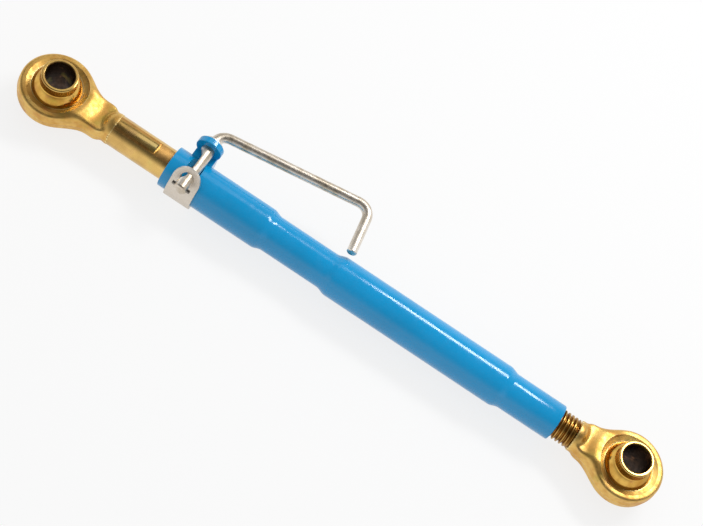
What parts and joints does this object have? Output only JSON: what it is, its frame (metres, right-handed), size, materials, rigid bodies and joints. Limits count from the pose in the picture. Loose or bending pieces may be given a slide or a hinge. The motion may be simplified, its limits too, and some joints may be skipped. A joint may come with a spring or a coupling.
{
  "type": "tractor top link",
  "caption": "Tractor top link: swaged turnbuckle tube between two ball ends with opposite threads, with a folding bent-bar handle that locks the tube on the shank's flat.",
  "frame": {"origin": "centre of the tractor-end swivel ball", "axes": "+X along the link to the implement end, +Z along the ball bores, +Y on the lock handle's side"},
  "size_m": [0.646, 0.0994, 0.0581],
  "materials": {
    "forging_zinc": "forged steel, yellow zinc passivate",
    "ball_zinc": "turned steel, yellow zinc passivate",
    "tube_enamel": "gloss sky-blue enamel",
    "bar_zinc": "clear zinc plate",
    "strap_zinc": "dull zinc plate",
    "spring_steel": "oiled spring steel",
    "wiper_rubber": "moulded rubber"
  },
  "bodies": {
    "left_rod_end": {"left_rod_end": "forging_zinc"},
    "left_ball": {"left_ball": "ball_zinc"},
    "spindle_wiper": {"spindle_wiper": "wiper_rubber"},
    "tube": {"adjusting_tube": "tube_enamel", "pivot_boss": "tube_enamel", "lock_strap": "strap_zinc"},
    "lock_handle": {"lock_shaft": "bar_zinc", "shaft_pin": "spring_steel", "lock_handle": "bar_zinc"},
    "right_rod_end": {"right_rod_end": "forging_zinc"},
    "right_ball": {"right_ball": "ball_zinc"}
  },
  "joints": [
    {"name": "left_ball_swivel", "type": "hinge", "parent": "left_rod_end", "child": "left_ball", "pos_m": [0, 0, 0], "axis": [0, 1, 0], "range_deg": [-20, 20]},
    {"name": "wiper_slide", "type": "slide", "parent": "left_rod_end", "child": "spindle_wiper", "axis": [1, 0, 0], "range_m": [-0.0146, 0.069]},
    {"name": "tube_turn", "type": "hinge", "parent": "spindle_wiper", "child": "tube", "pos_m": [0.1365, 0, 0], "axis": [-1, 0, 0], "range_deg": [-1440, 6840]},
    {"name": "handle_fold", "type": "hinge", "parent": "tube", "child": "lock_handle", "pos_m": [0.1365, 0.0247, 0.0206], "axis": [0, -1, 0], "range_deg": [0, 110]},
    {"name": "right_spindle_slide", "type": "slide", "parent": "left_rod_end", "child": "right_rod_end", "axis": [1, 0, 0], "range_m": [-0.0292, 0.138]},
    {"name": "right_ball_swivel", "type": "hinge", "parent": "right_rod_end", "child": "right_ball", "pos_m": [0.58, 0, 0], "axis": [0, 1, 0], "range_deg": [-20, 20]}
  ],
  "couplings": [
    {"joint": "wiper_slide", "follows": "tube_turn", "m_per_rad": 0.00057751},
    {"joint": "right_spindle_slide", "follows": "tube_turn", "m_per_rad": 0.001155}
  ]
}
